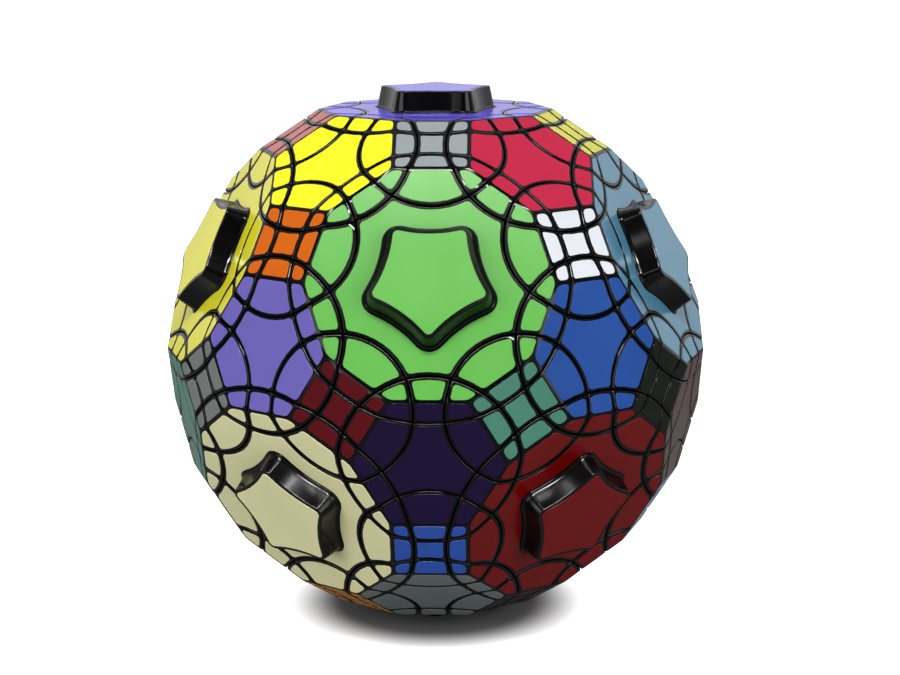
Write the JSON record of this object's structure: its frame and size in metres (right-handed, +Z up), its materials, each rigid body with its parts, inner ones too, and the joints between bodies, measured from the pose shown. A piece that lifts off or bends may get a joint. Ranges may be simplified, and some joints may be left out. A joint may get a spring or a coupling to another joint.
{
  "type": "twisty puzzle",
  "caption": "Ball-shaped twisty puzzle with decagon, hexagon and square faces; each decagon is a round layer that turns by its star knob.",
  "frame": {"origin": "on the vertical through the ball's centre, at the flat end of the bottom star knob that it stands on", "axes": "+Z up through the top star knob; -Y is the front, with a star knob leaning up towards it; +X to the right"},
  "size_m": [0.1532, 0.1544, 0.1535],
  "materials": {
    "black_plastic": "glossy moulded black plastic with rounded edges",
    "core_plastic": "plain moulded nylon, unpainted, inside the puzzle",
    "screw_steel": "plain steel screw and spring",
    "violet_tile": "satin self-coloured plastic tile let into the black piece",
    "green_tile": "satin self-coloured plastic tile let into the black piece",
    "steel_blue_tile": "satin self-coloured plastic tile let into the black piece",
    "pink_tile": "satin self-coloured plastic tile let into the black piece",
    "coral_tile": "satin self-coloured plastic tile let into the black piece",
    "lemon_tile": "satin self-coloured plastic tile let into the black piece",
    "dark_red_tile": "satin self-coloured plastic tile let into the black piece",
    "sea_green_tile": "satin self-coloured plastic tile let into the black piece",
    "silver_tile": "satin self-coloured plastic tile let into the black piece",
    "sky_tile": "satin self-coloured plastic tile let into the black piece",
    "cream_tile": "satin self-coloured plastic tile let into the black piece",
    "plum_tile": "satin self-coloured plastic tile let into the black piece"
  },
  "bodies": {
    "root": {"core": "core_plastic", "upper_lattice_1": "black_plastic", "upper_lattice_2": "black_plastic", "upper_lattice_3": "black_plastic", "upper_lattice_4": "black_plastic", "upper_lattice_5": "black_plastic", "lower_lattice_1": "black_plastic", "lower_lattice_2": "black_plastic", "lower_lattice_3": "black_plastic", "lower_lattice_4": "black_plastic", "lower_lattice_5": "black_plastic", "top_screw": "screw_steel", "front_screw": "screw_steel", "right_screw": "screw_steel", "back_right_screw": "screw_steel", "back_left_screw": "screw_steel", "left_screw": "screw_steel", "low_front_right_screw": "screw_steel", "low_right_screw": "screw_steel", "low_back_screw": "screw_steel", "low_left_screw": "screw_steel", "low_front_left_screw": "screw_steel", "bottom_screw": "screw_steel"},
    "top_layer": {"top_centre": "black_plastic", "top_ring": "black_plastic", "top_knob": "violet_tile"},
    "front_layer": {"front_centre": "black_plastic", "front_ring": "black_plastic", "front_knob": "green_tile"},
    "right_layer": {"right_centre": "black_plastic", "right_ring": "black_plastic", "right_knob": "steel_blue_tile"},
    "back_right_layer": {"back_right_centre": "black_plastic", "back_right_ring": "black_plastic", "back_right_knob": "pink_tile"},
    "back_left_layer": {"back_left_centre": "black_plastic", "back_left_ring": "black_plastic", "back_left_knob": "coral_tile"},
    "left_layer": {"left_centre": "black_plastic", "left_ring": "black_plastic", "left_knob": "lemon_tile"},
    "low_front_right_layer": {"low_front_right_centre": "black_plastic", "low_front_right_ring": "black_plastic", "low_front_right_knob": "dark_red_tile"},
    "low_right_layer": {"low_right_centre": "black_plastic", "low_right_ring": "black_plastic", "low_right_knob": "sea_green_tile"},
    "low_back_layer": {"low_back_centre": "black_plastic", "low_back_ring": "black_plastic", "low_back_knob": "silver_tile"},
    "low_left_layer": {"low_left_centre": "black_plastic", "low_left_ring": "black_plastic", "low_left_knob": "sky_tile"},
    "low_front_left_layer": {"low_front_left_centre": "black_plastic", "low_front_left_ring": "black_plastic", "low_front_left_knob": "cream_tile"},
    "bottom_layer": {"bottom_centre": "black_plastic", "bottom_ring": "black_plastic", "bottom_knob": "plum_tile"}
  },
  "joints": [
    {"name": "top_turn", "type": "hinge", "parent": "root", "child": "top_layer", "pos_m": [0, 0, 0.07674], "axis": [0, 0, 1], "continuous": true},
    {"name": "front_turn", "type": "hinge", "parent": "root", "child": "front_layer", "pos_m": [0, 0, 0.07674], "axis": [0, -0.8944, 0.4472], "continuous": true},
    {"name": "right_turn", "type": "hinge", "parent": "root", "child": "right_layer", "pos_m": [0, 0, 0.07674], "axis": [0.8507, -0.2764, 0.4472], "continuous": true},
    {"name": "back_right_turn", "type": "hinge", "parent": "root", "child": "back_right_layer", "pos_m": [0, 0, 0.07674], "axis": [0.5257, 0.7236, 0.4472], "continuous": true},
    {"name": "back_left_turn", "type": "hinge", "parent": "root", "child": "back_left_layer", "pos_m": [0, 0, 0.07674], "axis": [-0.5257, 0.7236, 0.4472], "continuous": true},
    {"name": "left_turn", "type": "hinge", "parent": "root", "child": "left_layer", "pos_m": [0, 0, 0.07674], "axis": [-0.8507, -0.2764, 0.4472], "continuous": true},
    {"name": "low_front_right_turn", "type": "hinge", "parent": "root", "child": "low_front_right_layer", "pos_m": [0, 0, 0.07674], "axis": [0.5257, -0.7236, -0.4472], "continuous": true},
    {"name": "low_right_turn", "type": "hinge", "parent": "root", "child": "low_right_layer", "pos_m": [0, 0, 0.07674], "axis": [0.8507, 0.2764, -0.4472], "continuous": true},
    {"name": "low_back_turn", "type": "hinge", "parent": "root", "child": "low_back_layer", "pos_m": [0, 0, 0.07674], "axis": [0, 0.8944, -0.4472], "continuous": true},
    {"name": "low_left_turn", "type": "hinge", "parent": "root", "child": "low_left_layer", "pos_m": [0, 0, 0.07674], "axis": [-0.8507, 0.2764, -0.4472], "continuous": true},
    {"name": "low_front_left_turn", "type": "hinge", "parent": "root", "child": "low_front_left_layer", "pos_m": [0, 0, 0.07674], "axis": [-0.5257, -0.7236, -0.4472], "continuous": true},
    {"name": "bottom_turn", "type": "hinge", "parent": "root", "child": "bottom_layer", "pos_m": [0, 0, 0.07674], "axis": [0, 0, -1], "continuous": true}
  ]
}
